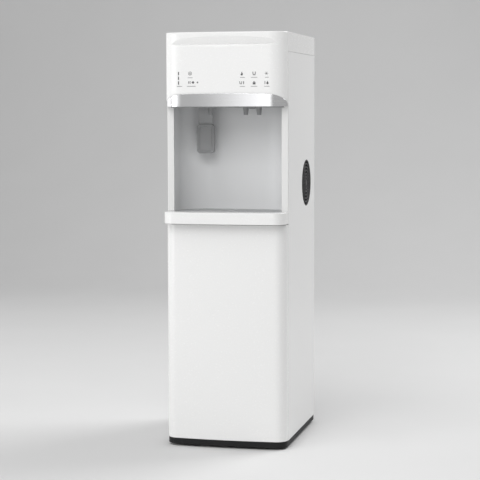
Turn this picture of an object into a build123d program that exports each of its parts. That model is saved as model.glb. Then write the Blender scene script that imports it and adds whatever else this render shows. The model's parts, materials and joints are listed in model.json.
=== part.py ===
"""Free-standing hot and cold water dispenser with a filter bay behind its lower front panel.

Frame: +Z up, the front faces -Y, +X is to the right of someone standing in front.
The origin is on the floor, in the middle of the whole object's width and depth.
"""

import math
import os

from build123d import *

# Body, in millimetres
BODY_WIDTH = 310.0
SIDE_DEPTH = 345.0
CORNER_RADIUS = 30.0
FRONT_BOW = 8.0
LIP_REACH = 26.0
FITTING_REACH = 14.0

# Heights of the levels, from the floor up
FOOT_HEIGHT = 6.0
PLINTH_HEIGHT = 14.0
PANEL_HEIGHT = 542.0
PANEL_GAP = 2.5
LIP_HEIGHT = 29.0
NICHE_HEIGHT = 261.0
TRIM_HEIGHT = 33.0
FASCIA_HEIGHT = 120.0
BAND_HEIGHT = 30.0
COVER_SKIRT = 48.0

# Walls and clearances
SHEET = 1.0
SHELL_WALL = 3.0
FLANGE = 14.0
DECK_WALL = 2.0
DECK_FLANGE = 20.0
SEAM_GAP = 0.5
SLIDE_GAP = 0.4
PIN_GAP = 0.05
HOLE_GAP = 0.3
EDGE_RADIUS = 1.2

# Plinth and feet
PLINTH_INSET = 1.0
PLINTH_WALL = 4.0
FOOT_RADIUS = 18.0
FOOT_STUD_RADIUS = 4.0
FOOT_BOSS_RADIUS = 9.0
FOOT_INSET = 48.0

# Niche, pillars and drip tray
PILLAR_WIDTH = 17.0
PILLAR_REACH = 2.5
PILLAR_ROUND = 2.0
NICHE_DEPTH = 120.0
NICHE_RADIUS = 70.0
LINER_WALL = 2.5
TRAY_GAP = 2.0
TRAY_WALL = 2.5
TRAY_FLOOR = 3.0
TRAY_FRONT = 20.0
GRATE_THICKNESS = 4.0
GRATE_LEDGE = 3.0
GRATE_DROP = 1.0
GRATE_SLOT = 4.5
GRATE_PITCH = 10.0
GRATE_MARGIN = 12.0
GRATE_SPINE = 10.0

# Head
HEAD_BOW = 4.0
HEAD_CORNER = 46.0
HEAD_LAND = 6.5
ROUND_SHARE = 0.55
SCOOP_DEPTH = 8.0
SCOOP_RISE = 26.0
SCOOP_DROP = 10.0
SCOOP_LEAD = 1.0
SCOOP_LEAN = 0.16
FASCIA_WALL = 5.0
FASCIA_ROUND = 8.0
HEM_WALL = 11.0
HEM_HEIGHT = 12.0
TRIM_WALL = 9.0
TRIM_INSET = 0.8
NOZZLE_PLATE_WALL = 3.0
PLATE_RIM_DROP = 2.5
PLATE_RIM_WALL = 2.5
SENSOR_WIDTH = 15.0
SENSOR_DEPTH = 12.0
SENSOR_DROP = 6.0
COVER_ROUND = 2.5

# Nozzles and valves
NOZZLE_DEPTH = 60.0
NOZZLE_FROM_LEFT = {"ambient": 97.0}
NOZZLE_FROM_RIGHT = {"hot": 122.0, "cold": 88.0}
NOZZLE_TIP_RADIUS = 5.5
NOZZLE_ROOT_RADIUS = 8.0
NOZZLE_BORE = 3.0
NOZZLE_DROP = 21.0
NOZZLE_COLLAR_RADIUS = 11.5
NOZZLE_COLLAR = 3.0
NOZZLE_STUB_RADIUS = 5.0
NOZZLE_STUB = 10.0
VALVE_BODY = 26.0
VALVE_HEIGHT = 22.0
VALVE_COIL_RADIUS = 11.0
VALVE_COIL_LENGTH = 30.0

# Dispensing lever
LEVER_FROM_LEFT = 77.5
LEVER_DEPTH = 84.0
LEVER_PIVOT_RISE = 13.0
LEVER_PIN_RADIUS = 2.5
LEVER_HUB_RADIUS = 6.0
LEVER_ARM_WIDTH = 36.0
LEVER_ARM_THICKNESS = 5.0
LEVER_PAD_WIDTH = 44.5
LEVER_PAD_HEIGHT = 74.5
LEVER_PAD_THICKNESS = 13.0
LEVER_PAD_DROP = 44.0
LEVER_PAD_RADIUS = 9.0
LEVER_PAD_RIM = 1.5
LEVER_PAD_SLOPE = 7.0
LEVER_PAD_DISH = 5.0
LEVER_DISH_RADIUS = 3.0
LEVER_SLOT_ROOM = 6.0
LEVER_EAR = 5.0
LEVER_EAR_GAP = 0.5
SWITCH_LENGTH = 20.0
SWITCH_HEIGHT = 10.0

# Front panel fixing
STUD_RADIUS = 2.5
STUD_BOSS = 9.0
STUD_BOSS_DEPTH = 10.0
STUD_END_INSET = 60.0
STUD_REACH = 7.0
CATCH_RADIUS = 5.5
CATCH_LENGTH = 6.0

# Cooling fan, grille and condenser on the right
FAN_FROM_REAR = 112.0
FAN_Z = 656.0
FAN_SIZE = 120.0
FAN_THICKNESS = 25.0
FAN_BORE_RADIUS = 57.0
FAN_HUB_RADIUS = 19.0
FAN_TIP_GAP = 1.5
FAN_BLADES = 7
FAN_BLADE_WALL = 2.0
FAN_BLADE_PITCH = 38.0
FAN_SHAFT_RADIUS = 3.0
FAN_STRUT = 6.0
FAN_STRUT_WALL = 4.0
GRILLE_RADIUS = 60.0
GRILLE_FLANGE = 6.0
GRILLE_FLANGE_WALL = 2.0
GRILLE_RINGS = 6
GRILLE_RING_WALL = 2.2
GRILLE_BARS = 12
GRILLE_HUB_RADIUS = 8.0
CONDENSER_LENGTH = 44.0
CONDENSER_FINS = 10
CONDENSER_FIN_WALL = 1.5

# Tanks on the rear shelf
SHELF_CLEARANCE = 4.0
COLD_TANK_RADIUS = BODY_WIDTH / 5
COLD_TANK_SIDE_GAP = 4.0
COLD_TANK_HEIGHT = 180.0
COLD_JACKET_WALL = 16.0
HOT_TANK_RADIUS = BODY_WIDTH * 0.148
HOT_TANK_SIDE_GAP = 12.0
HOT_TANK_HEIGHT = 170.0
HOT_JACKET_WALL = 10.0
HEATER_WALL = 4.0
HEATER_HEIGHT = 40.0
TANK_WALL = 2.0
TANK_PORT_RADIUS = 5.0

# Lower bay
COMPRESSOR_FROM_RIGHT = 83.0
COMPRESSOR_FROM_REAR = 92.5
COMPRESSOR_RADIUS = 60.0
COMPRESSOR_HEIGHT = 165.0
COMPRESSOR_DOME = 30.0
COMPRESSOR_PLATE = 4.0
COMPRESSOR_WALL = 8.0
COMPRESSOR_PORT_RADIUS = 5.0
GROMMET_RADIUS = 11.0
GROMMET_HEIGHT = 14.0
GROMMET_SPACING = 120.0
PUMP_FROM_LEFT = 75.0
PUMP_FROM_REAR = 92.5
PUMP_RADIUS = 30.0
PUMP_LENGTH = 92.0
PUMP_HEAD = 52.0
PUMP_BASE = 10.0
PUMP_RISE = 6.0
PUMP_HEAD_RIM = 3.0
FILTER_DEPTH = 62.0
FILTER_SIDE_ROOM = 11.0
FILTER_RADIUS = 30.0
FILTER_LENGTH = 300.0
FILTER_NECK_RADIUS = 16.0
FILTER_NECK = 20.0
FILTER_ROUND = 8.0
FILTER_GRIP_RADIUS = 31.5
FILTER_GRIP = 26.0
FILTER_NAMES = ("sediment_filter", "carbon_filter", "membrane_filter", "polishing_filter")
MANIFOLD_HEIGHT = 58.0
MANIFOLD_DEPTH = 70.0
MANIFOLD_MARGIN = 6.0

# Control and power boards
BOARD_SIDE_ROOM = 39.0
BOARD_HEIGHT = 84.0
BOARD_WALL = 1.6
BOARD_SETBACK = 22.0
BOARD_POST_RADIUS = 3.5
BOARD_POST_INSET = 10.0
POWER_BOARD_WIDTH = 96.0
POWER_BOARD_DEPTH = 120.0
POWER_BOARD_RISE = 8.0
POWER_BOARD_FROM_LEFT = 63.0
RELAY_SIZE = (18.0, 15.0, 16.0)
RELAY_SPACING = 30.0
CHIP_SIZE = (22.0, 3.0, 22.0)
PLUG_SIZE = (40.0, 10.0, 9.0)
CHIP_SPACING = 65.0

# Fittings on the back panel
SERVICE_FROM_LEFT = 60.0
SOCKET_Z = 640.0
SOCKET_WIDTH = 30.0
SOCKET_HEIGHT = 24.0
SOCKET_DEPTH = 24.0
SOCKET_LIP = 5.0
SOCKET_LIP_WALL = 2.5
SOCKET_WALL = 3.0
SOCKET_PIN = 12.0
SOCKET_PIN_RADIUS = 1.5
ROCKER_Z = 690.0
ROCKER_RADIUS = 11.0
ROCKER_WIDTH = 14.0
ROCKER_PITCH = 26.0
ROCKER_TILT = 8.0
ROCKER_GAP = 0.5
ROCKER_DEPTH = 16.0
ROCKER_PIN_RADIUS = 2.0
INLET_X = -40.0
INLET_Z = 90.0
DRAIN_X = 40.0
DRAIN_Z = 90.0
TUBE_RADIUS = 3.2
FITTING_RADIUS = 8.0
FITTING_FLANGE_RADIUS = 11.0
FITTING_FLANGE = 3.0
FITTING_INSIDE = 12.0
CAP_WALL = 2.0
CAP_GAP = 0.3
LOUVRE_COUNT = 9
LOUVRE_LENGTH = 90.0
LOUVRE_HEIGHT = 4.0
LOUVRE_PITCH = 11.0
LOUVRE_FROM_RIGHT = 75.0
LOUVRE_Z = 600.0
SCREW_HEAD_RADIUS = 4.0
SCREW_HEAD = 2.0
SCREW_RADIUS = 1.7
SCREW_LENGTH = 6.0
SCREW_ROWS = 4
SCREW_END_INSET = 40.0

# Levels and planes worked out from the sizes above
Z_PLINTH = FOOT_HEIGHT
Z_BASE = Z_PLINTH + PLINTH_HEIGHT
Z_PANEL_TOP = Z_BASE + PANEL_HEIGHT
Z_LIP = Z_PANEL_TOP + PANEL_GAP
Z_TRAY = Z_LIP + LIP_HEIGHT
Z_TRIM = Z_TRAY + NICHE_HEIGHT
Z_FASCIA = Z_TRIM + TRIM_HEIGHT
Z_BAND = Z_FASCIA + FASCIA_HEIGHT
Z_TOP = Z_BAND + BAND_HEIGHT
Z_SKIRT = Z_TOP - COVER_SKIRT
DEPTH = LIP_REACH + FRONT_BOW + CORNER_RADIUS + SIDE_DEPTH + FITTING_REACH
Y_LIP = -DEPTH / 2
Y_FRONT = Y_LIP + LIP_REACH
Y_SEAM = Y_FRONT + FRONT_BOW + CORNER_RADIUS
Y_REAR = Y_SEAM + SIDE_DEPTH
Y_NICHE_BACK = Y_SEAM + NICHE_DEPTH
Y_BAY_FRONT = Y_NICHE_BACK + LINER_WALL
Y_BAY_BACK = Y_REAR - 2 * SHEET
Y_TANK = (Y_BAY_FRONT + Y_BAY_BACK) / 2
Y_FAN = Y_REAR - FAN_FROM_REAR
Y_NOZZLE = Y_SEAM + NOZZLE_DEPTH
Z_SHELF = FAN_Z + GRILLE_RADIUS + GRILLE_FLANGE + SHELF_CLEARANCE + DECK_FLANGE
HALF = BODY_WIDTH / 2
IN_HALF = HALF - SHEET
NICHE_HALF = HALF - PILLAR_WIDTH
NOZZLE_XS = {name: -HALF + gap for name, gap in NOZZLE_FROM_LEFT.items()}
NOZZLE_XS.update({name: HALF - gap for name, gap in NOZZLE_FROM_RIGHT.items()})
LEVER_X = -HALF + LEVER_FROM_LEFT
COLD_TANK_X = -IN_HALF + COLD_TANK_SIDE_GAP + COLD_TANK_RADIUS + COLD_JACKET_WALL
HOT_TANK_X = IN_HALF - HOT_TANK_SIDE_GAP - HOT_TANK_RADIUS - HEATER_WALL - HOT_JACKET_WALL
COMPRESSOR_X = HALF - COMPRESSOR_FROM_RIGHT
COMPRESSOR_Y = Y_REAR - COMPRESSOR_FROM_REAR
PUMP_X = -HALF + PUMP_FROM_LEFT
PUMP_Y = Y_REAR - PUMP_FROM_REAR
FILTER_PITCH = (BODY_WIDTH - 2 * FILTER_SIDE_ROOM) / len(FILTER_NAMES)
BOARD_WIDTH = BODY_WIDTH - 2 * BOARD_SIDE_ROOM
POWER_BOARD_X = -HALF + POWER_BOARD_FROM_LEFT
SERVICE_X = -HALF + SERVICE_FROM_LEFT
LOUVRE_X = HALF - LOUVRE_FROM_RIGHT
OVERCUT = 1.0


def box(x0, x1, y0, y1, z0, z1):
    """A block between two opposite corners."""
    return Pos((x0 + x1) / 2, (y0 + y1) / 2, (z0 + z1) / 2) * Box(x1 - x0, y1 - y0, z1 - z0)


def rod_x(radius, x0, x1, y, z):
    """A cylinder along X."""
    return Pos((x0 + x1) / 2, y, z) * Rot(0, 90, 0) * Cylinder(radius, x1 - x0)


def rod_y(radius, x, y0, y1, z):
    """A cylinder along Y."""
    return Pos(x, (y0 + y1) / 2, z) * Rot(90, 0, 0) * Cylinder(radius, y1 - y0)


def rod_z(radius, x, y, z0, z1):
    """A cylinder along Z."""
    return Pos(x, y, (z0 + z1) / 2) * Cylinder(radius, z1 - z0)


def prism(face, z0, z1):
    """A plan face raised between two heights."""
    return Pos(0, 0, z0) * extrude(face, z1 - z0, dir=(0, 0, 1))


def across(points):
    """A side-view outline, as (y, z) points, run through the whole width."""
    face = make_face(Plane.YZ * Polyline(*points, close=True))
    return extrude(face, BODY_WIDTH, both=True, dir=(1, 0, 0))


def body_plan(y_front, y_back, inset=0.0, radius=CORNER_RADIUS):
    """The body seen from above: bowed front, rounded front corners, square back."""
    half = HALF - inset
    middle = y_front + inset
    corner = middle + FRONT_BOW
    front = ThreePointArc((-half, corner), (0, middle), (half, corner))
    walls = Polyline((half, corner), (half, y_back), (-half, y_back), (-half, corner))
    face = Face(Wire([*front.edges(), *walls.edges()]))
    corners = face.vertices().sort_by(Axis.Y)[:2]
    return face.fillet_2d(radius - inset, corners)


def front_at(x):
    """Y of the head's bowed front at an X between its rounded corners."""
    radius = (HALF**2 + HEAD_BOW**2) / (2 * HEAD_BOW)
    return Y_FRONT + radius - math.sqrt(radius**2 - x**2)


def head_plan(y_front, y_back, inset=0.0):
    """The head seen from above: slightly bowed front, long rounded corners, square back."""
    half = HALF - inset
    middle = y_front + inset
    turn = HALF - HEAD_CORNER
    start = middle + front_at(turn) - Y_FRONT
    end = Y_SEAM - HEAD_LAND
    front = ThreePointArc((-turn, start), (0, middle), (turn, start))
    lead = Vector(turn, start) + (front % 1) * ROUND_SHARE * (half - turn)
    tail = end - ROUND_SHARE * (end - start)
    right = Bezier((turn, start), (lead.X, lead.Y), (half, tail), (half, end))
    left = Bezier((-half, end), (-half, tail), (-lead.X, lead.Y), (-turn, start))
    walls = Polyline((half, end), (half, y_back), (-half, y_back), (-half, end))
    return Face(Wire([*left.edges(), *front.edges(), *right.edges(), *walls.edges()]))


def head_skin(z0, z1, wall, inset=0.0):
    """A shell that follows the head's plan, open at the back, top and bottom."""
    outer = prism(head_plan(Y_FRONT, Y_SEAM, inset), z0, z1)
    inner = prism(head_plan(Y_FRONT, Y_SEAM + OVERCUT, inset + wall), z0 - OVERCUT, z1 + OVERCUT)
    return outer - inner


def crease_cut(level, lean=0.0):
    """Space ahead of an arc that leaves the front at a level and ends in the crease under the cover."""
    near, deep, ahead = Y_FRONT - SCOOP_LEAD, Y_FRONT + SCOOP_DEPTH, Y_FRONT - CORNER_RADIUS
    way = math.copysign(1, Z_BAND - level)
    past = Z_BAND + way * OVERCUT
    arc = TangentArc((near, level), (deep, Z_BAND), tangent=(lean, way))
    outside = Polyline((deep, Z_BAND), (deep, past), (ahead, past), (ahead, level), (near, level))
    profile = Face(Wire([*arc.edges(), *outside.edges()]))
    return extrude(Plane.YZ * profile, HALF + OVERCUT, both=True)


def niche_plan(y_front, inset=0.0):
    """The niche seen from above: straight sides and large round back corners."""
    half = NICHE_HALF - inset
    back = Y_NICHE_BACK - inset
    corners = [(-half, y_front), (half, y_front), (half, back), (-half, back)]
    face = Face(Wire.make_polygon([Vector(*c) for c in corners], close=True))
    rounded = face.vertices().sort_by(Axis.Y)[-2:]
    return face.fillet_2d(NICHE_RADIUS - inset, rounded)


def channel(y0, y1, z_top):
    """A shelf across the body with a flange down each side."""
    top = box(-IN_HALF, IN_HALF, y0, y1, z_top - DECK_WALL, z_top)
    for x0, x1 in ((-IN_HALF, -IN_HALF + DECK_WALL), (IN_HALF - DECK_WALL, IN_HALF)):
        top += box(x0, x1, y0, y1, z_top - DECK_FLANGE, z_top)
    return top


def trim_cut():
    """The space under the sloping plane that parts the fascia from the trim."""
    reach = Y_SEAM - Y_FRONT
    slope = TRIM_HEIGHT / reach
    ahead = Y_FRONT - CORNER_RADIUS
    high = Z_TRIM + slope * (Y_SEAM - ahead)
    behind = Y_SEAM + OVERCUT
    low = Z_TRIM - slope * OVERCUT
    below = Z_TRIM - TRIM_HEIGHT
    return across([(ahead, below), (ahead, high), (behind, low), (behind, below)])


def foot_places():
    """Where the four feet stand, on the floor."""
    xs = (-HALF + FOOT_INSET, HALF - FOOT_INSET)
    ys = (Y_SEAM + FOOT_INSET - CORNER_RADIUS, Y_REAR - FOOT_INSET)
    return [(x, y) for x in xs for y in ys]


def base_plinth():
    plinth = prism(body_plan(Y_FRONT, Y_REAR, PLINTH_INSET), Z_PLINTH, Z_BASE)
    hollow = body_plan(Y_FRONT, Y_REAR - PLINTH_WALL, PLINTH_INSET + PLINTH_WALL)
    plinth -= prism(hollow, Z_PLINTH - OVERCUT, Z_BASE - PLINTH_WALL)
    for x, y in foot_places():
        plinth += rod_z(FOOT_BOSS_RADIUS, x, y, Z_PLINTH, Z_BASE)
        plinth -= rod_z(FOOT_STUD_RADIUS, x, y, Z_PLINTH - OVERCUT, Z_BASE - PLINTH_WALL)
    return plinth


def rubber_feet():
    feet = Part()
    for x, y in foot_places():
        pad = rod_z(FOOT_RADIUS, x, y, 0, FOOT_HEIGHT)
        pad = chamfer(pad.edges().group_by(Axis.Z)[-1], EDGE_RADIUS)
        feet += pad + rod_z(FOOT_STUD_RADIUS - PIN_GAP, x, y, FOOT_HEIGHT, Z_BASE - PLINTH_WALL)
    return feet


def screw_places():
    """Heights of the screws down each back flange."""
    step = (Z_SKIRT - Z_BASE - 2 * SCREW_END_INSET) / (SCREW_ROWS - 1)
    return [(side * (HALF - FLANGE / 2), Z_BASE + SCREW_END_INSET + i * step)
            for side in (-1, 1) for i in range(SCREW_ROWS)]


def stud_places():
    """Centres of the front panel's four push studs."""
    heights = (Z_BASE + STUD_END_INSET, Z_PANEL_TOP - STUD_END_INSET)
    return [(side * (HALF - FLANGE / 2), z) for side in (-1, 1) for z in heights]


def side_panel(side):
    """A folded steel side with a flange at the front and the back."""
    outer, inner, fold = side * HALF, side * IN_HALF, side * (HALF - FLANGE)
    panel = box(min(outer, fold), max(outer, fold), Y_SEAM, Y_REAR, Z_BASE, Z_SKIRT - SEAM_GAP)
    hollow_end = fold - side * OVERCUT
    panel -= box(min(inner, hollow_end), max(inner, hollow_end), Y_SEAM + SHEET, Y_REAR - SHEET,
                 Z_BASE - OVERCUT, Z_SKIRT + OVERCUT)
    for x, z in screw_places():
        if x * side > 0:
            panel -= rod_y(SCREW_RADIUS + HOLE_GAP, x, Y_REAR - SHEET - OVERCUT, Y_REAR + OVERCUT, z)
    for x, z in stud_places():
        if x * side > 0:
            panel -= rod_y(STUD_RADIUS + HOLE_GAP, x, Y_SEAM - OVERCUT, Y_SEAM + SHEET + OVERCUT, z)
    return panel


def right_side_panel():
    hole = rod_x(GRILLE_RADIUS + HOLE_GAP, IN_HALF - OVERCUT, HALF + OVERCUT, Y_FAN, FAN_Z)
    return side_panel(1) - hole


def rear_panel():
    half = IN_HALF
    y0, y1 = Y_BAY_BACK, Y_REAR - SHEET
    panel = box(-half, half, y0, y1, Z_BASE, Z_SKIRT - SEAM_GAP)
    a, b = y0 - OVERCUT, y1 + OVERCUT
    for x, z in screw_places():
        panel -= rod_y(SCREW_RADIUS + HOLE_GAP, x, a, b, z)
    for i in range(LOUVRE_COUNT):
        z = LOUVRE_Z + i * LOUVRE_PITCH
        panel -= box(LOUVRE_X - LOUVRE_LENGTH / 2, LOUVRE_X + LOUVRE_LENGTH / 2, a, b, z, z + LOUVRE_HEIGHT)
    w, h = SOCKET_WIDTH / 2 + HOLE_GAP, SOCKET_HEIGHT / 2 + HOLE_GAP
    panel -= box(SERVICE_X - w, SERVICE_X + w, a, b, SOCKET_Z - h, SOCKET_Z + h)
    w, h = rocker_housing_half()
    panel -= box(SERVICE_X - w - HOLE_GAP, SERVICE_X + w + HOLE_GAP, a, b,
                 ROCKER_Z - h - HOLE_GAP, ROCKER_Z + h + HOLE_GAP)
    for x, z in ((INLET_X, INLET_Z), (DRAIN_X, DRAIN_Z)):
        panel -= rod_y(FITTING_RADIUS + HOLE_GAP, x, a, b, z)
    return panel


def panel_screws():
    screws = Part()
    for x, z in screw_places():
        head = rod_y(SCREW_HEAD_RADIUS, x, Y_REAR, Y_REAR + SCREW_HEAD, z)
        screws += head + rod_y(SCREW_RADIUS, x, Y_REAR - SCREW_LENGTH, Y_REAR, z)
    return screws


def mid_deck():
    return channel(Y_SEAM + SHEET, Y_BAY_BACK, Z_LIP)


def tank_shelf():
    return channel(Y_BAY_FRONT, Y_BAY_BACK, Z_SHELF)


def alcove_liner():
    outer = prism(niche_plan(Y_SEAM, -LINER_WALL), Z_LIP, Z_TRIM)
    return outer - prism(niche_plan(Y_SEAM - OVERCUT), Z_LIP - OVERCUT, Z_TRIM + OVERCUT)


def pillar(side):
    """A white strip on the front edge of a side, with its outer corner rounded."""
    inner, outer = side * NICHE_HALF, side * HALF
    x0, x1 = sorted((inner, outer))
    strip = box(x0, x1, Y_SEAM - PILLAR_REACH, Y_SEAM, Z_TRAY + SLIDE_GAP, Z_TRIM)
    corners = strip.edges().filter_by(Axis.Z).group_by(Axis.Y)[0]
    return fillet(corners.sort_by(Axis.X)[-1 if side > 0 else 0], PILLAR_ROUND)


def tray_lip():
    """The tray's front, as wide as the body and hollow underneath."""
    back = Y_SEAM - SEAM_GAP
    lip = prism(body_plan(Y_LIP, back), Z_LIP, Z_TRAY)
    front_edges = lip.edges().filter_by(lambda e: e.center().Y < back - OVERCUT)
    lip = fillet(front_edges.filter_by(GeomType.LINE, reverse=True), EDGE_RADIUS)
    hollow = body_plan(Y_LIP, back - TRAY_FRONT - TRAY_WALL, SHELL_WALL)
    lip -= prism(hollow, Z_LIP - OVERCUT, Z_TRAY - SHELL_WALL)
    half = NICHE_HALF - TRAY_GAP
    return lip - box(-half, half, back - TRAY_FRONT, back + OVERCUT, Z_LIP - OVERCUT, Z_TRAY + OVERCUT)


def tray_basin():
    """The shallow basin behind the lip, with a ledge for the grate."""
    front = Y_SEAM - SEAM_GAP - TRAY_FRONT
    basin = prism(niche_plan(front, TRAY_GAP), Z_LIP, Z_TRAY - GRATE_DROP)
    pool = niche_plan(front + TRAY_WALL + GRATE_LEDGE, TRAY_GAP + TRAY_WALL + GRATE_LEDGE)
    basin -= prism(pool, Z_LIP + TRAY_FLOOR, Z_TRAY + OVERCUT)
    seat = niche_plan(front + TRAY_WALL, TRAY_GAP + TRAY_WALL)
    return basin - prism(seat, Z_TRAY - GRATE_DROP - GRATE_THICKNESS, Z_TRAY + OVERCUT)


def drip_grate():
    front = Y_SEAM - SEAM_GAP - TRAY_FRONT + TRAY_WALL + SLIDE_GAP
    inset = TRAY_GAP + TRAY_WALL + SLIDE_GAP
    top = Z_TRAY - GRATE_DROP
    grate = prism(niche_plan(front, inset), top - GRATE_THICKNESS, top)
    slots = Part()
    y = front + GRATE_MARGIN
    while y + GRATE_SLOT < Y_NICHE_BACK - inset - GRATE_MARGIN:
        reach = niche_half_at(y + GRATE_SLOT, inset) - GRATE_MARGIN
        for x0, x1 in ((-reach, -GRATE_SPINE / 2), (GRATE_SPINE / 2, reach)):
            slots += box(x0, x1, y, y + GRATE_SLOT, top - GRATE_THICKNESS - OVERCUT, top + OVERCUT)
        y += GRATE_PITCH
    return grate - slots


def niche_half_at(y, inset):
    """Half the niche's width at a depth, inside its round back corners."""
    radius = NICHE_RADIUS - inset
    half = NICHE_HALF - inset
    behind = y - (Y_NICHE_BACK - inset - radius)
    if behind <= 0:
        return half
    return half - radius + math.sqrt(max(radius**2 - behind**2, 0.0))


def front_panel():
    back = Y_SEAM - SEAM_GAP
    low, high = Z_BASE + SLIDE_GAP, Z_PANEL_TOP
    outer = prism(body_plan(Y_FRONT, back), low, high)
    rims = outer.edges().filter_by(lambda e: e.center().Y < back - OVERCUT)
    outer = fillet(rims.filter_by(GeomType.LINE, reverse=True), EDGE_RADIUS)
    hollow = body_plan(Y_FRONT, back + OVERCUT, SHELL_WALL)
    panel = outer - prism(hollow, low + SHELL_WALL, high - SHELL_WALL)
    for x, z in stud_places():
        side = math.copysign(1, x)
        inner, wall = x - side * STUD_BOSS / 2, side * (HALF - SHELL_WALL / 2)
        panel += box(min(inner, wall), max(inner, wall), back - STUD_BOSS_DEPTH, back,
                     z - STUD_BOSS / 2, z + STUD_BOSS / 2)
        panel += rod_y(STUD_RADIUS, x, back - STUD_BOSS_DEPTH, Y_SEAM + STUD_REACH, z)
    return panel


def panel_catches():
    rings = Part()
    for x, z in stud_places():
        y0, y1 = Y_SEAM + SHEET, Y_SEAM + SHEET + CATCH_LENGTH
        ring = rod_y(CATCH_RADIUS, x, y0, y1, z)
        rings += ring - rod_y(STUD_RADIUS + PIN_GAP, x, y0 - OVERCUT, y1 + OVERCUT, z)
    return rings


def board_posts():
    """Centres of the posts that carry the control board."""
    middle = (Z_FASCIA + Z_BAND) / 2
    x, z = BOARD_WIDTH / 2 - BOARD_POST_INSET, BOARD_HEIGHT / 2 - BOARD_POST_INSET
    return [(sx * x, middle + sz * z) for sx in (-1, 1) for sz in (-1, 1)]


def control_fascia():
    shell = head_skin(Z_TRIM, Z_BAND, FASCIA_WALL) + head_skin(Z_TRIM, Z_FASCIA + HEM_HEIGHT, HEM_WALL)
    ledge = prism(head_plan(Y_FRONT, Y_SEAM), Z_BAND - SHELL_WALL, Z_BAND)
    opening = head_plan(Y_FRONT + SCOOP_DEPTH, Y_SEAM + OVERCUT, FASCIA_WALL + SHELL_WALL)
    shell += ledge - prism(opening, Z_BAND - SHELL_WALL - OVERCUT, Z_BAND + OVERCUT)
    shell -= trim_cut()
    slope = TRIM_HEIGHT / (Y_SEAM - Y_FRONT)
    skin = [e for e in shell.edges() if on_trim_plane(e, slope) and on_outside(e)]
    shell = fillet(skin, FASCIA_ROUND) - crease_cut(Z_BAND - SCOOP_DROP)
    for x, z in board_posts():
        shell += rod_y(BOARD_POST_RADIUS, x, front_at(x) + FASCIA_WALL / 2, Y_FRONT + BOARD_SETBACK, z)
    return shell


def on_trim_plane(edge, slope):
    """Whether an edge lies in the sloping cut above the trim."""
    return all(abs(v.Z - Z_TRIM - slope * (Y_SEAM - v.Y)) < SEAM_GAP / 10 for v in edge.vertices())


def on_outside(edge):
    """Whether an edge lies on the head's outer skin, in front of the seam."""
    middle = edge @ 0.5
    inner = head_plan(Y_FRONT, Y_SEAM + OVERCUT, FASCIA_WALL / 2)
    return middle.Y < Y_SEAM - SEAM_GAP and not inner.is_inside(Vector(middle.X, middle.Y))


def head_trim():
    return head_skin(Z_TRIM, Z_FASCIA, TRIM_WALL, TRIM_INSET) & trim_cut()


def top_cover():
    rim = Z_TOP - COVER_ROUND - SEAM_GAP
    cap = prism(head_plan(Y_FRONT, Y_REAR), rim, Z_TOP)
    cap = fillet(cap.edges().group_by(Axis.Z)[-1], COVER_ROUND)
    band = prism(head_plan(Y_FRONT, Y_SEAM + OVERCUT), Z_BAND, rim)
    cover = cap + box(-HALF, HALF, Y_SEAM, Y_REAR, Z_SKIRT, rim) + band
    cover -= crease_cut(Z_BAND + SCOOP_RISE, SCOOP_LEAN)
    inside = head_plan(Y_FRONT + SCOOP_DEPTH, Y_REAR - SHELL_WALL, SHELL_WALL)
    return cover - prism(inside, Z_SKIRT - OVERCUT, Z_TOP - SHELL_WALL)


def nozzle_plate():
    """The niche's dark ceiling, with a rim under the trim and a sensor between two nozzles."""
    z0, z1 = Z_TRIM, Z_TRIM + NOZZLE_PLATE_WALL
    inset = HEM_WALL + HOLE_GAP
    plate = prism(head_plan(Y_FRONT, Y_SEAM - SEAM_GAP, inset), z0, z1)
    half = NICHE_HALF + LINER_WALL
    plate += box(-half, half, Y_SEAM - OVERCUT, Y_BAY_FRONT, z0, z1)
    rim = head_skin(z0 - PLATE_RIM_DROP, z0, PLATE_RIM_WALL, inset)
    plate += rim & box(-HALF, HALF, Y_FRONT, Y_SEAM - PILLAR_REACH - SEAM_GAP, z0 - PLATE_RIM_DROP, z0)
    for x in NOZZLE_XS.values():
        plate -= rod_z(NOZZLE_ROOT_RADIUS + HOLE_GAP, x, Y_NOZZLE, z0 - OVERCUT, z1 + OVERCUT)
    slot = LEVER_ARM_WIDTH / 2 + LEVER_EAR_GAP
    y = Y_SEAM + LEVER_DEPTH
    room = LEVER_ARM_THICKNESS / 2 + LEVER_SLOT_ROOM
    plate -= box(LEVER_X - slot, LEVER_X + slot, y - room, y + room, z0 - OVERCUT, z1 + OVERCUT)
    x = (NOZZLE_XS["hot"] + NOZZLE_XS["cold"]) / 2
    wide, deep = SENSOR_WIDTH / 2, SENSOR_DEPTH / 2
    return plate + box(x - wide, x + wide, Y_NOZZLE - deep, Y_NOZZLE + deep, z0 - SENSOR_DROP, z0)


def nozzle(name):
    x = NOZZLE_XS[name]
    top = Z_TRIM + NOZZLE_PLATE_WALL
    tip = Z_TRIM - NOZZLE_DROP
    spout = Pos(x, Y_NOZZLE, (tip + top) / 2) * Cone(NOZZLE_TIP_RADIUS, NOZZLE_ROOT_RADIUS, top - tip)
    spout += rod_z(NOZZLE_COLLAR_RADIUS, x, Y_NOZZLE, top, top + NOZZLE_COLLAR)
    spout += rod_z(NOZZLE_STUB_RADIUS, x, Y_NOZZLE, top, top + NOZZLE_COLLAR + NOZZLE_STUB)
    end = top + NOZZLE_COLLAR + NOZZLE_STUB
    return spout - rod_z(NOZZLE_BORE, x, Y_NOZZLE, tip - OVERCUT, end + OVERCUT)


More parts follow.
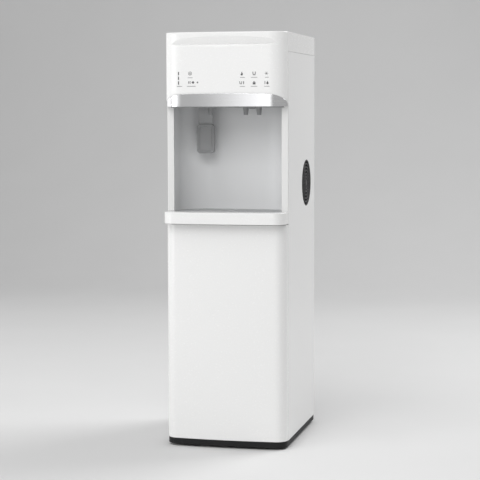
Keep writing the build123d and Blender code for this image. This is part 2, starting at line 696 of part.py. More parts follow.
def valve(name):
    """A solenoid valve standing on a nozzle's stub, with its coil on top."""
    x = NOZZLE_XS[name]
    z = Z_TRIM + NOZZLE_PLATE_WALL + NOZZLE_COLLAR + NOZZLE_STUB
    half = VALVE_BODY / 2
    body = box(x - half, x + half, Y_NOZZLE - half, Y_NOZZLE + half, z, z + VALVE_HEIGHT)
    coil = rod_z(VALVE_COIL_RADIUS, x, Y_NOZZLE, z + VALVE_HEIGHT, z + VALVE_HEIGHT + VALVE_COIL_LENGTH)
    return body + coil


def lever_pivot():
    return Y_SEAM + LEVER_DEPTH, Z_TRIM + NOZZLE_PLATE_WALL + LEVER_PIVOT_RISE


def lever_arm():
    y, z = lever_pivot()
    half = LEVER_ARM_WIDTH / 2
    bottom = Z_TRIM - LEVER_PAD_DROP
    arm = rod_x(LEVER_HUB_RADIUS, LEVER_X - half, LEVER_X + half, y, z)
    wall = LEVER_ARM_THICKNESS / 2
    arm += box(LEVER_X - half, LEVER_X + half, y - wall, y + wall, bottom, z)
    return arm - rod_x(LEVER_PIN_RADIUS + PIN_GAP, LEVER_X - half - OVERCUT, LEVER_X + half + OVERCUT, y, z)


def lever_pad():
    """A dished paddle with a raised rim, hung under the arm."""
    y = Y_SEAM + LEVER_DEPTH
    top = Z_TRIM - LEVER_PAD_DROP
    back = (LEVER_X, y + LEVER_PAD_THICKNESS / 2, top - LEVER_PAD_HEIGHT / 2)
    middle = Plane(back, x_dir=(1, 0, 0), z_dir=(0, -1, 0))
    plan = RectangleRounded(LEVER_PAD_WIDTH, LEVER_PAD_HEIGHT, LEVER_PAD_RADIUS)
    pad = extrude(middle * plan, LEVER_PAD_THICKNESS)
    pad = fillet(pad.edges().group_by(Axis.Y)[0], EDGE_RADIUS)
    front = middle.offset(LEVER_PAD_THICKNESS)
    mouth = dish_outline(LEVER_PAD_RIM, LEVER_PAD_RADIUS - LEVER_PAD_RIM)
    floor = dish_outline(LEVER_PAD_RIM + LEVER_PAD_SLOPE, LEVER_DISH_RADIUS)
    return pad - loft([front * mouth, front.offset(-LEVER_PAD_DISH) * floor], ruled=True)


def dish_outline(inset, radius):
    """A rounded rectangle inside the pad's edge."""
    return RectangleRounded(LEVER_PAD_WIDTH - 2 * inset, LEVER_PAD_HEIGHT - 2 * inset, radius)


def lever_ears():
    """X spans of the two ears beside the lever's hub."""
    inner = LEVER_ARM_WIDTH / 2 + LEVER_EAR_GAP
    return [(LEVER_X - inner - LEVER_EAR, LEVER_X - inner), (LEVER_X + inner, LEVER_X + inner + LEVER_EAR)]


def lever_bracket():
    y, z = lever_pivot()
    bracket = Part()
    for x0, x1 in lever_ears():
        ear = box(x0, x1, y - LEVER_HUB_RADIUS, y + LEVER_HUB_RADIUS, Z_TRIM + NOZZLE_PLATE_WALL, z)
        ear += rod_x(LEVER_HUB_RADIUS, x0, x1, y, z)
        bracket += ear - rod_x(LEVER_PIN_RADIUS, x0 - OVERCUT, x1 + OVERCUT, y, z)
    return bracket


def lever_pin():
    y, z = lever_pivot()
    ears = lever_ears()
    return rod_x(LEVER_PIN_RADIUS, ears[0][0], ears[1][1], y, z)


def lever_switch():
    """The microswitch that the lever's hub works, beside the far ear."""
    y, _ = lever_pivot()
    x = lever_ears()[0][0]
    z = Z_TRIM + NOZZLE_PLATE_WALL
    return box(x - SWITCH_LENGTH, x, y - SWITCH_HEIGHT / 2, y + SWITCH_HEIGHT / 2, z, z + SWITCH_HEIGHT)


def control_board():
    y = Y_FRONT + BOARD_SETBACK
    middle = (Z_FASCIA + Z_BAND) / 2
    half_width, half_height = BOARD_WIDTH / 2, BOARD_HEIGHT / 2
    return box(-half_width, half_width, y, y + BOARD_WALL, middle - half_height, middle + half_height)


def board_components():
    """Relays, a processor and a connector block on the back of the control board."""
    y = Y_FRONT + BOARD_SETBACK + BOARD_WALL
    middle = (Z_FASCIA + Z_BAND) / 2
    places = ((-CHIP_SPACING, RELAY_SIZE), (-CHIP_SPACING + RELAY_SPACING, RELAY_SIZE), (0.0, CHIP_SIZE),
              (CHIP_SPACING, PLUG_SIZE))
    parts = Part()
    for x, (width, height, length) in places:
        parts += box(x - width / 2, x + width / 2, y, y + height, middle - length / 2, middle + length / 2)
    return parts


def power_board():
    """The mains board on four posts, with its transformer and capacitor."""
    x0, x1 = POWER_BOARD_X - POWER_BOARD_WIDTH / 2, POWER_BOARD_X + POWER_BOARD_WIDTH / 2
    y1 = Y_BAY_BACK - FLANGE - SOCKET_DEPTH
    y0 = y1 - POWER_BOARD_DEPTH
    z = Z_LIP + POWER_BOARD_RISE
    board = box(x0, x1, y0, y1, z, z + BOARD_WALL)
    for x in (x0 + BOARD_POST_INSET, x1 - BOARD_POST_INSET):
        for y in (y0 + BOARD_POST_INSET, y1 - BOARD_POST_INSET):
            board += rod_z(BOARD_POST_RADIUS, x, y, Z_LIP, z)
    return board


def tank(x, z, radius, height):
    """A steel tank with an outlet port underneath."""
    shell = rod_z(radius, x, Y_TANK, z, z + height)
    shell -= rod_z(radius - TANK_WALL, x, Y_TANK, z + TANK_WALL, z + height - TANK_WALL)
    return shell - rod_z(TANK_PORT_RADIUS, x, Y_TANK, z - OVERCUT, z + TANK_WALL + OVERCUT)


def cold_tank():
    return tank(COLD_TANK_X, Z_SHELF + COLD_JACKET_WALL, COLD_TANK_RADIUS, COLD_TANK_HEIGHT)


def cold_tank_jacket():
    z = Z_SHELF
    height = COLD_JACKET_WALL + COLD_TANK_HEIGHT
    jacket = rod_z(COLD_TANK_RADIUS + COLD_JACKET_WALL, COLD_TANK_X, Y_TANK, z, z + height)
    return jacket - rod_z(COLD_TANK_RADIUS, COLD_TANK_X, Y_TANK, z + COLD_JACKET_WALL, z + height + OVERCUT)


def cold_tank_lid():
    z = Z_SHELF + COLD_JACKET_WALL + COLD_TANK_HEIGHT
    return rod_z(COLD_TANK_RADIUS + COLD_JACKET_WALL, COLD_TANK_X, Y_TANK, z, z + COLD_JACKET_WALL)


def hot_tank():
    return tank(HOT_TANK_X, Z_SHELF + HOT_JACKET_WALL, HOT_TANK_RADIUS, HOT_TANK_HEIGHT)


def heater_span():
    z = Z_SHELF + HOT_JACKET_WALL + HEATER_HEIGHT / 2
    return z, z + HEATER_HEIGHT


def band_heater():
    z0, z1 = heater_span()
    ring = rod_z(HOT_TANK_RADIUS + HEATER_WALL, HOT_TANK_X, Y_TANK, z0, z1)
    return ring - rod_z(HOT_TANK_RADIUS, HOT_TANK_X, Y_TANK, z0 - OVERCUT, z1 + OVERCUT)


def hot_tank_jacket():
    z = Z_SHELF
    height = 2 * HOT_JACKET_WALL + HOT_TANK_HEIGHT
    jacket = rod_z(HOT_TANK_RADIUS + HEATER_WALL + HOT_JACKET_WALL, HOT_TANK_X, Y_TANK, z, z + height)
    floor = z + HOT_JACKET_WALL
    jacket -= rod_z(HOT_TANK_RADIUS, HOT_TANK_X, Y_TANK, floor, floor + HOT_TANK_HEIGHT)
    z0, z1 = heater_span()
    return jacket - rod_z(HOT_TANK_RADIUS + HEATER_WALL, HOT_TANK_X, Y_TANK, z0, z1)


def fan_planes():
    """X of the fan's inner and outer faces, and of the grille flange's inner face."""
    flange = IN_HALF - GRILLE_FLANGE_WALL
    return flange - FAN_THICKNESS, flange


def side_grille():
    """A flush round grille: rings joined by bars, on a flange behind the panel."""
    _, flange = fan_planes()
    radius = GRILLE_RADIUS
    grille = rod_x(radius, flange, HALF, Y_FAN, FAN_Z)
    step = (radius - GRILLE_HUB_RADIUS) / GRILLE_RINGS
    for i in range(GRILLE_RINGS):
        outer = radius - i * step - GRILLE_RING_WALL
        inner = radius - (i + 1) * step
        gap = rod_x(outer, flange - OVERCUT, HALF + OVERCUT, Y_FAN, FAN_Z)
        grille -= gap - rod_x(inner, flange - 2 * OVERCUT, HALF + 2 * OVERCUT, Y_FAN, FAN_Z)
    bars = Part()
    for i in range(GRILLE_BARS // 2):
        bar = Box(HALF - flange - SHEET, GRILLE_RING_WALL, 2 * radius - GRILLE_RING_WALL)
        turn = Rot(180 * i / (GRILLE_BARS // 2), 0, 0)
        bars += Pos((flange + IN_HALF) / 2, Y_FAN, FAN_Z) * turn * bar
    collar = rod_x(radius + GRILLE_FLANGE, flange, IN_HALF, Y_FAN, FAN_Z)
    collar -= rod_x(radius - GRILLE_RING_WALL, flange - OVERCUT, IN_HALF + OVERCUT, Y_FAN, FAN_Z)
    return grille + bars + collar


def fan_frame():
    inner, outer = fan_planes()
    half = FAN_SIZE / 2
    frame = box(inner, outer, Y_FAN - half, Y_FAN + half, FAN_Z - half, FAN_Z + half)
    frame -= rod_x(FAN_BORE_RADIUS, inner - OVERCUT, outer + OVERCUT, Y_FAN, FAN_Z)
    for i in range(2):
        strut = Box(FAN_STRUT_WALL, FAN_STRUT, 2 * FAN_BORE_RADIUS + FAN_STRUT_WALL)
        frame += Pos(inner + FAN_STRUT_WALL / 2, Y_FAN, FAN_Z) * Rot(90 * i, 0, 0) * strut
    frame += rod_x(FAN_HUB_RADIUS, inner, inner + FAN_STRUT_WALL, Y_FAN, FAN_Z)
    shaft_end = inner + FAN_STRUT_WALL
    return frame - rod_x(FAN_SHAFT_RADIUS + PIN_GAP, inner - OVERCUT, shaft_end + OVERCUT, Y_FAN, FAN_Z)


def fan_rotor():
    inner, outer = fan_planes()
    near = inner + FAN_STRUT_WALL + SLIDE_GAP
    far = outer - GRILLE_FLANGE_WALL
    rotor = rod_x(FAN_HUB_RADIUS, near, far, Y_FAN, FAN_Z)
    rotor += rod_x(FAN_SHAFT_RADIUS, inner, near, Y_FAN, FAN_Z)
    tip = FAN_BORE_RADIUS - FAN_TIP_GAP
    length = tip - FAN_HUB_RADIUS / 2
    width = (far - near) / 2
    for i in range(FAN_BLADES):
        blade = Rot(0, 0, FAN_BLADE_PITCH) * Box(width, FAN_BLADE_WALL, length)
        blade = Pos(0, 0, FAN_HUB_RADIUS / 2 + length / 2) * blade
        rotor += Pos((near + far) / 2, Y_FAN, FAN_Z) * Rot(360 * i / FAN_BLADES, 0, 0) * blade
    tunnel = rod_x(tip, near - FAN_STRUT_WALL, far, Y_FAN, FAN_Z)
    return rotor & (tunnel + rod_x(FAN_SHAFT_RADIUS, inner, near, Y_FAN, FAN_Z))


def condenser():
    """A finned block standing on the deck, against the fan."""
    outer, _ = fan_planes()
    inner = outer - CONDENSER_LENGTH
    half = FAN_SIZE / 2
    top = FAN_Z + half
    block = box(inner, outer, Y_FAN - half, Y_FAN + half, Z_LIP, top)
    pitch = FAN_SIZE / CONDENSER_FINS
    for i in range(CONDENSER_FINS):
        y = Y_FAN - half + i * pitch + CONDENSER_FIN_WALL
        block -= box(inner + CONDENSER_FIN_WALL, outer + OVERCUT, y, y + pitch - CONDENSER_FIN_WALL,
                     FAN_Z - half, top - CONDENSER_FIN_WALL)
    return block


def grommet_places():
    half = GROMMET_SPACING / 2
    return [(COMPRESSOR_X + sx * half, COMPRESSOR_Y + sy * half) for sx in (-1, 1) for sy in (-1, 1)]


def compressor():
    """The compressor's domed shell on its foot plate, with a fill port underneath."""
    z = Z_BASE + GROMMET_HEIGHT
    x, y = COMPRESSOR_X, COMPRESSOR_Y
    half = GROMMET_SPACING / 2 + GROMMET_RADIUS
    shell = rod_z(COMPRESSOR_RADIUS, x, y, z, z + COMPRESSOR_HEIGHT)
    shell = fillet(shell.edges().group_by(Axis.Z)[-1], COMPRESSOR_DOME)
    shell += box(x - half, x + half, y - half, y + half, z, z + COMPRESSOR_PLATE)
    floor, roof = z + COMPRESSOR_PLATE, z + COMPRESSOR_HEIGHT - COMPRESSOR_DOME
    shell -= rod_z(COMPRESSOR_RADIUS - COMPRESSOR_WALL, x, y, floor, roof)
    return shell - rod_z(COMPRESSOR_PORT_RADIUS, x, y, z - OVERCUT, floor + OVERCUT)


def compressor_grommets():
    rings = Part()
    for x, y in grommet_places():
        rings += rod_z(GROMMET_RADIUS, x, y, Z_BASE, Z_BASE + GROMMET_HEIGHT)
    return rings


def terminal_cover():
    """The cap over the compressor's terminals, on its front."""
    z = Z_BASE + GROMMET_HEIGHT + COMPRESSOR_HEIGHT / 3
    width, height, depth = COMPRESSOR_RADIUS * 0.9, COMPRESSOR_HEIGHT / 3, COMPRESSOR_RADIUS * 0.4
    y = COMPRESSOR_Y - COMPRESSOR_RADIUS
    cover = box(COMPRESSOR_X - width / 2, COMPRESSOR_X + width / 2, y - depth, COMPRESSOR_Y, z, z + height)
    return cover - rod_z(COMPRESSOR_RADIUS, COMPRESSOR_X, COMPRESSOR_Y, z - OVERCUT, z + height + OVERCUT)


def booster_pump():
    """A motor with a square pump head, lying on its base."""
    z = Z_BASE + PUMP_BASE + PUMP_RISE + PUMP_RADIUS
    x0 = PUMP_X - PUMP_LENGTH / 2
    motor = rod_x(PUMP_RADIUS, x0, x0 + PUMP_LENGTH, PUMP_Y, z)
    half = PUMP_RADIUS
    rim = half + PUMP_HEAD_RIM
    head = box(x0 - PUMP_HEAD / 2, x0, PUMP_Y - rim, PUMP_Y + rim, z - rim, z + rim)
    base = box(x0, x0 + PUMP_LENGTH, PUMP_Y - half, PUMP_Y + half, Z_BASE, Z_BASE + PUMP_BASE)
    web = box(x0, x0 + PUMP_LENGTH, PUMP_Y - half / 2, PUMP_Y + half / 2, Z_BASE + PUMP_BASE, z)
    return motor + head + base + web


def filter_places():
    middle = (len(FILTER_NAMES) - 1) / 2
    return {name: (i - middle) * FILTER_PITCH for i, name in enumerate(FILTER_NAMES)}


def filter_manifold():
    """The block under the deck that the four cartridges twist into."""
    y = Y_SEAM + FILTER_DEPTH
    top = Z_LIP - DECK_WALL
    half = FILTER_PITCH * len(FILTER_NAMES) / 2 - MANIFOLD_MARGIN
    block = box(-half, half, y - MANIFOLD_DEPTH / 2, y + MANIFOLD_DEPTH / 2, top - MANIFOLD_HEIGHT, top)
    bottom = top - MANIFOLD_HEIGHT
    for x in filter_places().values():
        top = bottom + FILTER_NECK + SLIDE_GAP
        block -= rod_z(FILTER_NECK_RADIUS + HOLE_GAP, x, y, bottom - OVERCUT, top)
    return block


def filter_cartridge(name):
    x = filter_places()[name]
    y = Y_SEAM + FILTER_DEPTH
    top = Z_LIP - DECK_WALL - MANIFOLD_HEIGHT - SLIDE_GAP
    body = rod_z(FILTER_RADIUS, x, y, top - FILTER_LENGTH, top)
    body = fillet(body.edges().group_by(Axis.Z)[0], FILTER_ROUND)
    grip = top - FILTER_LENGTH + FILTER_ROUND
    body += rod_z(FILTER_GRIP_RADIUS, x, y, grip, grip + FILTER_GRIP)
    return body + rod_z(FILTER_NECK_RADIUS, x, y, top, top + FILTER_NECK)


def power_inlet():
    """The mains socket in the back panel, open to the back."""
    w, h = SOCKET_WIDTH / 2, SOCKET_HEIGHT / 2
    y1 = Y_REAR - SHEET
    socket = box(SERVICE_X - w, SERVICE_X + w, y1 - SOCKET_DEPTH, y1, SOCKET_Z - h, SOCKET_Z + h)
    socket += box(SERVICE_X - w - SOCKET_LIP, SERVICE_X + w + SOCKET_LIP, y1, y1 + SOCKET_LIP_WALL,
                  SOCKET_Z - h - SOCKET_LIP, SOCKET_Z + h + SOCKET_LIP)
    w, h = w - SOCKET_WALL, h - SOCKET_WALL
    floor, mouth = y1 - SOCKET_DEPTH + SOCKET_WALL, y1 + SOCKET_LIP_WALL + OVERCUT
    socket -= box(SERVICE_X - w, SERVICE_X + w, floor, mouth, SOCKET_Z - h, SOCKET_Z + h)
    for dx in (-1, 0, 1):
        x = SERVICE_X + dx * w / 2
        socket += rod_y(SOCKET_PIN_RADIUS, x, y1 - SOCKET_DEPTH, y1 - SOCKET_DEPTH + SOCKET_PIN, SOCKET_Z)
    return socket


def rocker_housing_half():
    """Half the width and height of the block that holds both rockers."""
    width = ROCKER_PITCH / 2 + ROCKER_WIDTH / 2 + ROCKER_GAP + SOCKET_WALL
    return width, ROCKER_RADIUS + ROCKER_GAP + SOCKET_WALL


def switch_housing():
    w, h = rocker_housing_half()
    y1 = Y_REAR - SHEET
    block = box(SERVICE_X - w, SERVICE_X + w, y1 - ROCKER_DEPTH, y1, ROCKER_Z - h, ROCKER_Z + h)
    block += box(SERVICE_X - w - SOCKET_LIP, SERVICE_X + w + SOCKET_LIP, y1, y1 + SOCKET_LIP_WALL,
                 ROCKER_Z - h - SOCKET_LIP, ROCKER_Z + h + SOCKET_LIP)
    room = ROCKER_RADIUS + ROCKER_GAP
    for x in rocker_xs():
        half = ROCKER_WIDTH / 2 + ROCKER_GAP
        block -= box(x - half, x + half, y1 - ROCKER_DEPTH + SOCKET_WALL, y1 + SOCKET_LIP_WALL + OVERCUT,
                     ROCKER_Z - room, ROCKER_Z + room)
        block += rod_x(ROCKER_PIN_RADIUS, x - half - OVERCUT, x + half + OVERCUT, rocker_axis_y(), ROCKER_Z)
    return block


def rocker_xs():
    return (SERVICE_X - ROCKER_PITCH / 2, SERVICE_X + ROCKER_PITCH / 2)


def rocker_axis_y():
    return Y_REAR - SHEET - ROCKER_DEPTH + SOCKET_WALL + ROCKER_RADIUS + ROCKER_GAP


def rocker(index):
    """A rocker key with two sloping faces, resting with its upper face pressed in."""
    x = rocker_xs()[index]
    y = rocker_axis_y()
    half = ROCKER_WIDTH / 2
    key = rod_x(ROCKER_RADIUS, x - half, x + half, y, ROCKER_Z)
    face = Y_REAR - SHEET + SOCKET_LIP_WALL - y
    drop = ROCKER_RADIUS * math.tan(math.radians(ROCKER_TILT))
    tip = ROCKER_RADIUS + OVERCUT
    upper, lower, beyond = ROCKER_Z + tip, ROCKER_Z - tip, y + 3 * ROCKER_RADIUS
    wedge = [(y + face - drop, ROCKER_Z), (y + face + drop, upper), (beyond, upper),
             (beyond, lower), (y + face + drop, lower)]
    key -= across(wedge)
    key -= rod_x(ROCKER_PIN_RADIUS + PIN_GAP, x - half - OVERCUT, x + half + OVERCUT, y, ROCKER_Z)
    return Pos(0, y, ROCKER_Z) * Rot(ROCKER_TILT, 0, 0) * Pos(0, -y, -ROCKER_Z) * key


def bulkhead(x, z, reach):
    """A round fitting through the back panel, with a flange outside and a tube bore."""
    y1 = Y_REAR - SHEET
    fitting = rod_y(FITTING_RADIUS, x, y1 - FITTING_INSIDE, y1 + reach, z)
    fitting += rod_y(FITTING_FLANGE_RADIUS, x, y1, y1 + FITTING_FLANGE, z)
    return fitting - rod_y(TUBE_RADIUS, x, y1 - FITTING_INSIDE - OVERCUT, y1 + reach + OVERCUT, z)


def water_inlet():
    return bulkhead(INLET_X, INLET_Z, FITTING_REACH + SHEET)


def drain_outlet():
    return bulkhead(DRAIN_X, DRAIN_Z, FITTING_REACH + SHEET - CAP_WALL - CAP_GAP)


def drain_cap():
    y0 = Y_REAR - SHEET + FITTING_FLANGE + CAP_GAP
    y1 = Y_REAR + FITTING_REACH
    cap = rod_y(FITTING_RADIUS + CAP_GAP + CAP_WALL, DRAIN_X, y0, y1, DRAIN_Z)
    return cap - rod_y(FITTING_RADIUS + CAP_GAP, DRAIN_X, y0 - OVERCUT, y1 - CAP_WALL, DRAIN_Z)


PARTS = {
    "base_plinth": base_plinth,
    "rubber_feet": rubber_feet,
    "left_side_panel": lambda: side_panel(-1),
    "right_side_panel": right_side_panel,
    "rear_panel": rear_panel,
    "panel_screws": panel_screws,
    "mid_deck": mid_deck,
    "tank_shelf": tank_shelf,
    "alcove_liner": alcove_liner,
    "left_pillar": lambda: pillar(-1),
    "right_pillar": lambda: pillar(1),
    "tray_lip": tray_lip,
    "tray_basin": tray_basin,
    "drip_grate": drip_grate,
    "front_panel": front_panel,
    "panel_catches": panel_catches,
    "control_fascia": control_fascia,
    "head_trim": head_trim,
    "top_cover": top_cover,
    "nozzle_plate": nozzle_plate,
    "ambient_nozzle": lambda: nozzle("ambient"),
    "hot_nozzle": lambda: nozzle("hot"),
    "cold_nozzle": lambda: nozzle("cold"),
    "ambient_valve": lambda: valve("ambient"),
    "hot_valve": lambda: valve("hot"),
    "cold_valve": lambda: valve("cold"),
    "lever_arm": lever_arm,
    "lever_pad": lever_pad,
    "lever_bracket": lever_bracket,
    "lever_pin": lever_pin,
    "lever_switch": lever_switch,
    "control_board": control_board,
    "board_components": board_components,
    "power_board": power_board,
    "cold_tank": cold_tank,
    "cold_tank_jacket": cold_tank_jacket,
    "cold_tank_lid": cold_tank_lid,
    "hot_tank": hot_tank,
    "band_heater": band_heater,
    "hot_tank_jacket": hot_tank_jacket,
    "side_grille": side_grille,
    "fan_frame": fan_frame,
    "fan_rotor": fan_rotor,
    "condenser": condenser,
    "compressor": compressor,
    "compressor_grommets": compressor_grommets,
    "terminal_cover": terminal_cover,
    "booster_pump": booster_pump,
    "filter_manifold": filter_manifold,
    "sediment_filter": lambda: filter_cartridge("sediment_filter"),
    "carbon_filter": lambda: filter_cartridge("carbon_filter"),
    "membrane_filter": lambda: filter_cartridge("membrane_filter"),
    "polishing_filter": lambda: filter_cartridge("polishing_filter"),
    "power_inlet": power_inlet,
    "switch_housing": switch_housing,
    "hot_switch": lambda: rocker(0),
    "cold_switch": lambda: rocker(1),
    "water_inlet": water_inlet,
    "drain_outlet": drain_outlet,
    "drain_cap": drain_cap,
}

os.makedirs("parts", exist_ok=True)
for node_name, make in PARTS.items():
    export_step(make(), f"parts/{node_name}.step")
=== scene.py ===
"""Scene for the water dispenser: finishes, printed icons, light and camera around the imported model."""

import json
import math
from collections import namedtuple

import bmesh
import bpy
from mathutils import Matrix, Vector


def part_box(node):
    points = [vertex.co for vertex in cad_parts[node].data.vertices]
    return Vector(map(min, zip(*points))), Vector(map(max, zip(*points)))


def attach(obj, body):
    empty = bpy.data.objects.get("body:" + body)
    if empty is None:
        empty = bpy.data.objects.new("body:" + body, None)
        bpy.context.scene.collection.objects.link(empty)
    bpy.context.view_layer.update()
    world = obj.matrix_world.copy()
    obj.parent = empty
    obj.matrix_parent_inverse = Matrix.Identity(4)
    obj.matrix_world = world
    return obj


MM = 0.001

# Camera, fitted to the photograph, in metres and degrees
IMAGE_PX = 480
FOCAL_PX = 1549.0
SENSOR_MM = 36.0
CAMERA_AT = (0.9178, -3.9015, 0.8445)
CAMERA_YAW = 13.290
CAMERA_PITCH = 4.777
CAMERA_ROLL = -0.141

# Front of the head, for what is printed on it
HEAD_HALF_MM = 155.0
HEAD_BOW_MM = 4.0
PRINT_PROUD_MM = 0.12
PRINT_DEPTH_MM = 0.25

# Plain colour bands round the filter cartridges
BAND_RADIUS_MM = 30.2
BAND_HEIGHT_MM = 120.0
BAND_START_MM = 110.0
BAND_SIDES = 72
BAND_FINISHES = {
    "sediment": "band_blue",
    "carbon": "band_grey",
    "membrane": "band_green",
    "polishing": "band_teal",
}

# Finishes: colour, roughness from and to, what the surface shows close up, its scale and its relief
Finish = namedtuple("Finish", "color rough kind scale bump metallic coat specular", defaults=(0.0, 0.0, 0.5))
FINISHES = {
    "white_plastic": Finish((0.84, 0.84, 0.835), (0.22, 0.30), "grain", 260.0, 0.03, coat=0.25),
    # Greyer copy of the white plastic for the pillars beside the niche: painted shade
    "pillar_shaded_plastic": Finish((0.74, 0.74, 0.735), (0.26, 0.34), "grain", 260.0, 0.03, coat=0.15),
    "white_steel": Finish((0.82, 0.82, 0.817), (0.28, 0.36), "grain", 520.0, 0.05, coat=0.1),
    "zinc_steel": Finish((0.55, 0.56, 0.57), (0.32, 0.50), "spangle", 90.0, 0.04, metallic=0.9),
    "black_plastic": Finish((0.014, 0.014, 0.015), (0.46, 0.58), "grain", 900.0, 0.15, specular=0.2),
    "grille_plastic": Finish((0.050, 0.050, 0.052), (0.40, 0.52), "grain", 900.0, 0.15),
    "black_rubber": Finish((0.015, 0.015, 0.015), (0.70, 0.85), "grain", 500.0, 0.25),
    "grey_plastic": Finish((0.76, 0.765, 0.77), (0.40, 0.50), "grain", 1100.0, 0.10),
    "mid_grey_plastic": Finish((0.42, 0.425, 0.43), (0.40, 0.50), "grain", 1100.0, 0.10),
    # Dark grey of the nozzles and lever pad; on the plate over the niche its darkness is painted shade under
    # the head
    "dark_plastic": Finish((0.30, 0.303, 0.307), (0.36, 0.46), "grain", 1000.0, 0.12),
    "bright_trim": Finish((0.86, 0.86, 0.87), (0.15, 0.19), "brushed", 700.0, 0.02, metallic=1.0),
    "natural_nylon": Finish((0.66, 0.65, 0.60), (0.40, 0.52), "grain", 600.0, 0.10),
    "bright_steel": Finish((0.60, 0.60, 0.61), (0.22, 0.34), "brushed", 420.0, 0.06, metallic=1.0),
    "board_green": Finish((0.012, 0.090, 0.035), (0.30, 0.42), "traces", 240.0, 0.10),
    "component_black": Finish((0.020, 0.020, 0.022), (0.40, 0.50), "grain", 700.0, 0.10),
    "foam_white": Finish((0.78, 0.78, 0.75), (0.80, 0.92), "beads", 230.0, 0.50),
    "condenser_metal": Finish((0.58, 0.59, 0.60), (0.30, 0.45), "brushed", 300.0, 0.08, metallic=1.0),
    "compressor_black": Finish((0.016, 0.016, 0.018), (0.20, 0.32), "grain", 260.0, 0.08, coat=0.3),
    "filter_white": Finish((0.76, 0.77, 0.78), (0.26, 0.36), "grain", 420.0, 0.05, coat=0.2),
    "switch_red": Finish((0.36, 0.012, 0.010), (0.24, 0.32), "grain", 600.0, 0.05),
    "switch_green": Finish((0.012, 0.160, 0.030), (0.24, 0.32), "grain", 600.0, 0.05),
    "cap_blue": Finish((0.012, 0.060, 0.240), (0.36, 0.46), "grain", 700.0, 0.10),
    "band_blue": Finish((0.035, 0.120, 0.330), (0.34, 0.44), "grain", 900.0, 0.06),
    "band_grey": Finish((0.075, 0.078, 0.082), (0.34, 0.44), "grain", 900.0, 0.06),
    "band_green": Finish((0.040, 0.230, 0.095), (0.34, 0.44), "grain", 900.0, 0.06),
    "band_teal": Finish((0.030, 0.240, 0.280), (0.34, 0.44), "grain", 900.0, 0.06),
    "icon_print": Finish((0.10, 0.10, 0.105), (0.45, 0.55), "grain", 1500.0, 0.05),
    "label_print": Finish((0.30, 0.30, 0.305), (0.45, 0.55), "grain", 1500.0, 0.05),
}

# Solids whose finish differs from the rest of their slot; the pillars get a greyer copy of the white
# plastic, which is painted shade
NODE_FINISHES = {
    "side_grille": "grille_plastic",
    "left_pillar": "pillar_shaded_plastic",
    "right_pillar": "pillar_shaded_plastic",
}

# Texture behind each kind of surface, how far it shifts the colour, and what all finishes share
TEXTURES = {
    "grain": ("ShaderNodeTexNoise", "Fac"),
    "brushed": ("ShaderNodeTexNoise", "Fac"),
    "spangle": ("ShaderNodeTexVoronoi", "Color"),
    "beads": ("ShaderNodeTexVoronoi", "Distance"),
    "traces": ("ShaderNodeTexVoronoi", "Distance"),
}
COLOR_SPREAD = {"grain": 0.02, "brushed": 0.05, "spangle": 0.12, "beads": 0.06, "traces": 0.35}
BRUSH_STRETCH = (0.02, 0.02, 1.0)
BUMP_DISTANCE = 0.0004
EDGE_SOFTNESS = 0.0006
COAT_ROUGHNESS = 0.12

# Pictograms on the fascia, in millimetres: outline, across, up and the outline's own sizes
ICONS = (
    ("bar", -116.0, 936.0, 2.6, 8.0),
    ("bar", -116.0, 924.5, 2.6, 8.0),
    ("bar", -116.0, 913.0, 2.6, 8.0),
    ("ring", -86.0, 936.0, 4.6, 1.1),
    ("drop", -86.0, 936.0, 5.0),
    ("bar", -90.0, 914.0, 1.4, 6.0),
    ("ring", -86.0, 914.0, 2.6, 1.0),
    ("disc", -78.5, 914.0, 3.0),
    ("disc", -67.0, 914.0, 2.0),
    ("flame", 45.3, 935.0, 9.5),
    ("cup", 76.3, 935.0, 8.5),
    ("star", 107.0, 935.0, 9.0),
    ("cup", 42.8, 912.5, 7.0),
    ("bar", 50.0, 912.5, 2.0, 7.0),
    ("padlock", 76.3, 912.5, 8.5),
    ("bar", 103.2, 912.5, 1.6, 7.5),
    ("drop", 109.5, 912.5, 8.5),
)
STAR_BAR_MM = 1.0

# Plain bars in place of the fascia's small captions, in the same form
CAPTIONS = (
    ("bar", -113.5, 904.5, 14.0, 1.5),
    ("bar", -83.0, 904.5, 22.0, 1.5),
    ("bar", -86.0, 925.5, 13.0, 1.4),
    ("bar", 47.0, 925.5, 12.0, 1.4),
    ("bar", 47.0, 903.5, 13.0, 1.4),
    ("bar", 76.3, 925.5, 16.0, 1.4),
    ("bar", 76.3, 903.5, 16.0, 1.4),
    ("bar", 108.0, 925.5, 9.0, 1.4),
    ("bar", 108.0, 903.5, 13.0, 1.4),
)

# Floor that bends up into a wall, in metres
STAGE_HALF = 9.0
STAGE_NEAR = -8.0
BEND_START = 3.0
BEND_RADIUS = 2.0
BEND_STEPS = 12
WALL_TOP = 7.0
PAPER = Finish((0.70, 0.70, 0.70), (0.8, 0.9), "grain", 3.0, 0.0)

# Lamps: degrees round the object from its front, positive to the right, then metres, watts and the aim
Lamp = namedtuple("Lamp", "angle distance height width tall power aim", defaults=((0.0, -0.1, 0.6),))
LAMPS = {
    "top_bank": Lamp(-20.0, 2.2, 3.6, 2.4, 2.4, 38.0),
    "high_bank": Lamp(0.0, 4.0, 3.2, 2.4, 2.0, 52.0),
    "left_bank": Lamp(-95.0, 3.0, 1.0, 3.0, 2.4, 18.0),
    "right_bank": Lamp(135.0, 2.8, 3.3, 2.0, 2.0, 88.0, aim=(0.0, 0.0, 1.0)),
    "left_strip": Lamp(-50.0, 4.0, 0.95, 1.7, 2.2, 25.0),
    "left_fade": Lamp(-32.0, 4.0, 0.95, 0.84, 2.2, 1.8),
}
SKY_STRENGTH = 0.41

# Low front lamps, each narrower than the last, which give the bright trim its soft rise: distance and width
FRONT_STRIPS = {"wide_strip": (5.2, 2.31), "mid_strip": (5.0, 1.49), "core_strip": (4.8, 0.76)}
STRIP_ANGLE = -2.5
STRIP_HEIGHT = 0.95
STRIP_TALL = 1.6
STRIP_POWER_PER_M = 1.8


